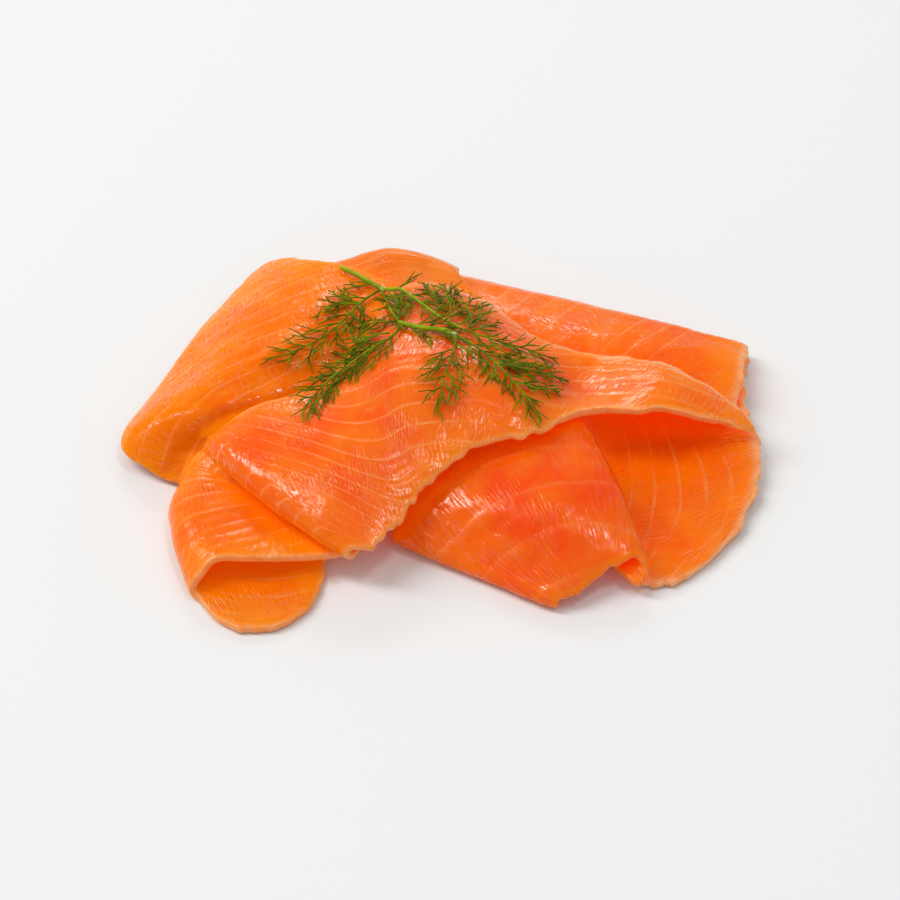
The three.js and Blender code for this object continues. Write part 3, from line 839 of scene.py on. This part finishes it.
# %% Where the stems run
# Places from the thick end of each stem to its tip, in millimetres from the mark, then the
# reach of its twigs, the step from one twig to the next, and its radius at both ends.
STEMS = [
    ([(-29.1, 51.9), (-23.5, 47.5), (-17.3, 42.1)], 0, 1, 0.62, 0.66),  # cut stalk
    ([(-17.3, 42.1), (-12.4, 38.5), (-6.9, 31.4), (-0.8, 23.8), (6.3, 17.4)], 7, 3, 0.6, 0.34),
    ([(-17.3, 42.1), (-22.9, 36), (-29, 26.3), (-35.4, 19.8), (-43.5, 15.3)], 12, 2.5, 0.41, 0.21),
    ([(-22.9, 36), (-26.5, 36.6), (-30, 39.1)], 5, 2.2, 0.26, 0.19),
    ([(-24.1, 35.4), (-30.8, 34.7), (-34.1, 31.9)], 6, 2.3, 0.26, 0.19),
    ([(-19.7, 44.1), (-22.8, 43.6), (-25.9, 42.3)], 4, 2.1, 0.26, 0.19),
    ([(-17.3, 42.1), (-16, 36), (-14.6, 28.3), (-11.8, 20.5)], 8, 2.3, 0.34, 0.5),
    ([(-11.8, 20.5), (-6.8, 18.1), (0.3, 16.8), (3.8, 14.8)], 8, 2, 0.72, 0.78),  # thick stem
    ([(-11, 19), (-14.8, 13.8), (-21.8, 10.7), (-29.5, 5), (-36, -6)], 11, 1.6, 0.41, 0.21),
    ([(-12.4, 20.8), (-12, 26.3), (-13.2, 35.7)], 5, 2.3, 0.28, 0.19),
    ([(-12.4, 21.0), (-18.6, 23.8), (-24.0, 28.5)], 7, 1.9, 0.28, 0.19),
    ([(-14.5, 16.5), (-20.5, 18.0), (-27.0, 17.5)], 6.5, 1.9, 0.28, 0.19),
    ([(-18.0, 12.5), (-24.5, 12.8), (-31.0, 10.0)], 5, 2.0, 0.26, 0.19),
    ([(-11.9, 22.5), (-9.5, 30.2)], 4, 2.2, 0.25, 0.19),
    ([(3.8, 14.8), (9.3, 10), (14.7, 3.4), (20, -4.1), (24.1, -9.6)], 11, 2.1, 0.39, 0.21),
    ([(11.5, 7.1), (18.2, 6.8), (24.2, 6), (28.4, 7.8)], 6, 2.1, 0.26, 0.19),
    ([(14.7, 3.4), (22, 3.6), (31.8, 5.5)], 6, 2.1, 0.26, 0.19),
    ([(19, -2.2), (25.5, -2.8), (30.1, -0.7)], 5, 2.1, 0.25, 0.19),
    ([(3.8, 14.8), (3.3, 10), (2, 3.9), (-0.9, -8.9)], 11, 2.2, 0.34, 0.19),
    ([(6.3, 17.4), (14.9, 14.2), (20.4, 13.8), (29, 13.1)], 6.5, 2.1, 0.28, 0.19),
    ([(6.3, 17.4), (7.9, 21.9), (7.4, 27.5), (5.4, 35.1)], 6.5, 2.5, 0.3, 0.19),
    ([(7.6, 19.1), (10.2, 24.3), (11.3, 33.6)], 5, 2.6, 0.26, 0.19),
    ([(7.8, 18.2), (11.4, 20.4), (14.3, 23.5)], 5, 2.3, 0.26, 0.19),
    ([(1.8, 21), (2.5, 26.8), (1.5, 32.9), (0.7, 39)], 7, 2.3, 0.28, 0.19),
    ([(-0.8, 23.8), (-1.6, 31.3), (-4, 39)], 6.5, 2.3, 0.28, 0.19),
    ([(2, 29.6), (3.4, 38)], 4, 2.6, 0.25, 0.19),
]
# Swellings where fronds part from a stem: both ends and the radius.
JOINTS = [((-17.3, 42.1), (-15.9, 41), 0.8), ((2.9, 15.4), (4.3, 14.3), 0.85)]
SPRIG_TOP = 29.9
TWIG_RADIUS = 0.34
THREAD_RADIUS = 0.3
TIP_RADIUS = 0.15
THICK_STEM = 0.55
STEM_POINTS = 24
STEM_LIFT = 1.3
STEM_MARGIN = 0.8
CALM_PASSES = 8
THREAD_SPACING = 2.3
SHOOT_GAP = 0.1
TWIG_STEPS = 4
THREAD_STEPS = 3

rng = random.Random(5)


def ground_height(x, y):
    """Height of the top of the fish at a place, in millimetres."""
    hit = heap_tree.ray_cast(Vector((x * MM, y * MM, 0.1)), Vector((0, 0, -1)))[0]
    return hit.z / MM if hit else 0.0


# %% Grow the stems, twigs and threads
strands = {"stem": [], "branch": [], "thread": [], "joint": []}


def settle(points, clearance):
    """Keeps a twig above the fish and below the top of the sprig."""
    settled = []
    for x, y, z in points:
        floor = ground_height(x, y) + clearance
        settled.append(Vector((x, y, min(max(z, floor), max(SPRIG_TOP - clearance, floor)))))
    return settled


def stem_path(places):
    """A stem laid over the fish: its height follows the slices in a calm arch."""
    flat = even_line([(*place, 0.0) for place in places], STEM_POINTS) - MARK * (1, 1, 0)
    heights = np.array([ground_height(x, y) for x, y, _ in flat]) + STEM_LIFT
    calm = heights.copy()
    for _ in range(CALM_PASSES):
        calm[1:-1] = np.maximum(heights[1:-1], (calm[:-2] + calm[1:-1] + calm[2:]) / 3)
    return [Vector((x, y, min(z, SPRIG_TOP - STEM_MARGIN))) for (x, y, _), z in zip(flat, calm)]


def turned(direction, angle, lift=0.0):
    """A direction turned about the vertical by an angle, with some lift."""
    x = direction.x * math.cos(angle) - direction.y * math.sin(angle)
    y = direction.x * math.sin(angle) + direction.y * math.cos(angle)
    return Vector((x, y, direction.z + lift)).normalized()


def swept(start, heading, length, sweep, steps, radius):
    """Points of a shoot that sets off on a heading and turns by the sweep on its way."""
    points = [start]
    for k in range(steps):
        heading = turned(heading, sweep / steps, rng.uniform(-0.12, 0.06))
        points.append(points[-1] + heading * length / steps)
    return [start] + settle(points[1:], radius + SHOOT_GAP)


def grow_twig(start, heading, length, side):
    """A side twig that sweeps forward, with soft threads on both sides."""
    sweep = -side * rng.uniform(0.1, 0.45)
    path = swept(start, heading, length, sweep, TWIG_STEPS, TWIG_RADIUS)
    strands["thread"].append((path, TWIG_RADIUS, TIP_RADIUS))
    way = rng.choice((-1, 1))
    count = max(2, round(length / THREAD_SPACING))
    for k in range(count):
        share = 0.22 + 0.74 * (k + rng.random() * 0.5) / count
        i = min(int(share * TWIG_STEPS), TWIG_STEPS - 1)
        place = path[i].lerp(path[i + 1], share * TWIG_STEPS - i)
        ahead = (path[i + 1] - path[i]).normalized()
        reach = min(length * rng.uniform(0.75, 1.0), rng.uniform(4.0, 6.8))
        reach *= 1.15 - 0.4 * share
        heading = turned(ahead, way * rng.uniform(0.45, 0.7), rng.uniform(-0.1, 0.3))
        sweep = -way * rng.uniform(0, 0.5)
        thread = swept(place, heading, reach, sweep, THREAD_STEPS, THREAD_RADIUS)
        strands["thread"].append((thread, THREAD_RADIUS, TIP_RADIUS))
        way = -way


def grow_stem(places, reach, step, first_radius, last_radius):
    """A stem on its way over the fish, with twigs on both sides and one at its tip."""
    path = stem_path(places)
    kind = "stem" if first_radius > THICK_STEM else "branch"
    strands[kind].append((path, first_radius, last_radius))
    last = len(path) - 1
    length = sum((b - a).length for a, b in zip(path, path[1:]))
    side = rng.choice((-1, 1))
    for k in range(int(length / step) if reach else 0):
        share = 0.12 + 0.86 * (k + rng.uniform(0.2, 0.8)) * step / length
        at = min(share, 0.99) * last
        i = int(at)
        start = path[i].lerp(path[i + 1], at - i)
        ahead = (path[min(i + 2, last)] - path[max(i - 1, 0)]).normalized()
        full = reach * (1.0 - 0.4 * share) * rng.uniform(0.6, 1.1)
        heading = turned(ahead, side * rng.uniform(0.6, 0.95), rng.uniform(-0.1, 0.3))
        grow_twig(start, heading, full, side)
        side = -side
    if reach:
        grow_twig(path[-1], (path[-1] - path[-3]).normalized(), reach * 0.45, side)


for stem in STEMS:
    grow_stem(*stem)
for first, last, radius in JOINTS:
    strands["joint"].append((stem_path([first, last])[::8], radius, radius * 0.9))
print({kind: len(made) for kind, made in strands.items()}, "strands of dill")

# %% Make the strands one mesh
TONES = {"thread": 0.0, "branch": 0.4, "stem": 1.0, "joint": 2.0}


def make_strands(kind, made, sides):
    """The strands of one kind as tubes, with their tone stored on the mesh."""
    curve = bpy.data.curves.new("dill_" + kind, "CURVE")
    curve.dimensions = "3D"
    curve.bevel_depth = 1.0 * MM
    curve.bevel_resolution = sides // 2 - 2
    curve.use_fill_caps = True
    for points, first_radius, last_radius in made:
        spline = curve.splines.new("POLY")
        spline.points.add(len(points) - 1)
        for i, point in enumerate(points):
            share = i / (len(points) - 1)
            spline.points[i].co = (*(point * MM), 1)
            spline.points[i].radius = first_radius + (last_radius - first_radius) * share
    tubes = bpy.data.objects.new("dill_" + kind, curve)
    bpy.context.scene.collection.objects.link(tubes)
    bpy.ops.object.select_all(action="DESELECT")
    tubes.select_set(True)
    bpy.context.view_layer.objects.active = tubes
    bpy.ops.object.convert(target="MESH")
    tubes = bpy.context.object
    tone = tubes.data.attributes.new("tone", "FLOAT", "POINT")
    tone.data.foreach_set("value", [TONES[kind]] * len(tubes.data.vertices))
    return tubes


SIDES = {"stem": 8, "branch": 6, "joint": 8, "thread": 4}
kinds = [make_strands(kind, strands[kind], sides) for kind, sides in SIDES.items()]
bpy.ops.object.select_all(action="DESELECT")
for tubes in kinds:
    tubes.select_set(True)
bpy.context.view_layer.objects.active = kinds[0]
bpy.ops.object.join()
sprig = bpy.context.object
sprig.name = sprig.data.name = "dill_sprig_fine"
bpy.ops.object.shade_smooth()
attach(sprig, "root")
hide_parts("dill_sprig")
sprig.data.calc_loop_triangles()
print("the sprig has", len(sprig.data.loop_triangles), "triangles")

# %% [markdown]
# ## Fresh dill
# The stems are bright yellow-green and smooth, palest where fronds part from the stalk, and
# the threads are a deeper green. All have a soft waxy shine.

# %% The finish of the dill
THREAD_GREENS = ((0.07, 0.115, 0.0005, 1), (0.19, 0.24, 0.001, 1))
STEM_GREENS = ((0.21, 0.29, 0.002, 1), (0.31, 0.40, 0.004, 1))
JOINT_GREEN = (0.48, 0.56, 0.22, 1)


def dill():
    """The finish of the sprig, by the tone of each strand."""
    recipe = Recipe("dill")
    place = recipe.place()
    tone = recipe.attribute("tone", "Fac")
    patches = recipe.noise(place, 4.0, 2.0).ramp(0.35, 0.65)
    thread = recipe.mix(patches, *THREAD_GREENS)
    stem = recipe.mix(patches, *STEM_GREENS)
    colour = recipe.mix(tone.ramp(0.0, 1.0), thread, stem)
    colour = recipe.mix(tone.ramp(1.0, 2.0), colour, JOINT_GREEN)
    streaks = recipe.noise(place, 0.4, 2.0)
    return recipe.finish({
        "Base Color": colour,
        "Roughness": 0.45,
        "Normal": recipe.bump(streaks, 0.04),
        "IOR": 1.25,
        "Specular Tint": (0.9, 1.0, 0.6, 1),
        "Subsurface Weight": 0.3,
        "Subsurface Radius": (0.4, 1.0, 0.2),
        "Subsurface Scale": 0.4 * MM,
    })


sprig.data.materials.append(dill())

# %% [markdown]
# ## Floor and light
# A plain pale floor and soft light all round show the colour of the flesh. Wet fish also
# needs something bright to reflect, so three windows stand round the heap: a wide one low
# behind it, a tall one at its left and a small one high at its right. Light passes many
# times between the slices and the floor, so the number of diffuse bounces is raised.

# %% Floor and light
FLOOR_SIZE = 6.0
FLOOR_TONES = ((0.82, 0.82, 0.81, 1), (0.83, 0.83, 0.82, 1))
LIGHT_DISTANCE = 3.0
SKY_LIGHT = 0.51
DIFFUSE_BOUNCES = 16


def pale_floor():
    """A wide matt floor, almost white."""
    bpy.ops.mesh.primitive_plane_add(size=FLOOR_SIZE)
    floor = bpy.context.object
    floor.name = "floor"
    recipe = Recipe("floor")
    place = recipe.place()
    colour = recipe.mix(recipe.noise(place, 300.0), *FLOOR_TONES)
    floor.data.materials.append(recipe.finish({"Base Color": colour, "Roughness": 0.9}))


def soft_light(name, azimuth, elevation, width, height, radiance):
    """A soft light three metres away, seen from the heap at an azimuth and an elevation."""
    bpy.ops.object.light_add(type="AREA")
    light = bpy.context.object
    light.name = name
    azimuth, elevation = math.radians(azimuth), math.radians(elevation)
    level = math.cos(elevation)
    away = Vector((math.sin(azimuth) * level, -math.cos(azimuth) * level, math.sin(elevation)))
    light.location = away * LIGHT_DISTANCE
    light.rotation_euler = away.to_track_quat("Z", "Y").to_euler()
    light.data.shape = "ELLIPSE"
    light.data.size = width
    light.data.size_y = height
    light.data.energy = radiance * math.pi * (math.pi * width * height / 4)


pale_floor()
soft_light("back_window", -176, 31, 1.2, 0.6, 7.0)
soft_light("left_window", -104, 52, 0.65, 2.7, 11.5)
soft_light("right_window", 90, 75, 0.5, 0.5, 15.0)
world = bpy.data.worlds.new("studio")
world.use_nodes = True
background = world.node_tree.nodes["Background"]
background.inputs["Color"].default_value = (1, 1, 1, 1)
background.inputs["Strength"].default_value = SKY_LIGHT
bpy.context.scene.world = world
bpy.context.scene.view_settings.view_transform = "Standard"
bpy.context.scene.cycles.diffuse_bounces = DIFFUSE_BOUNCES
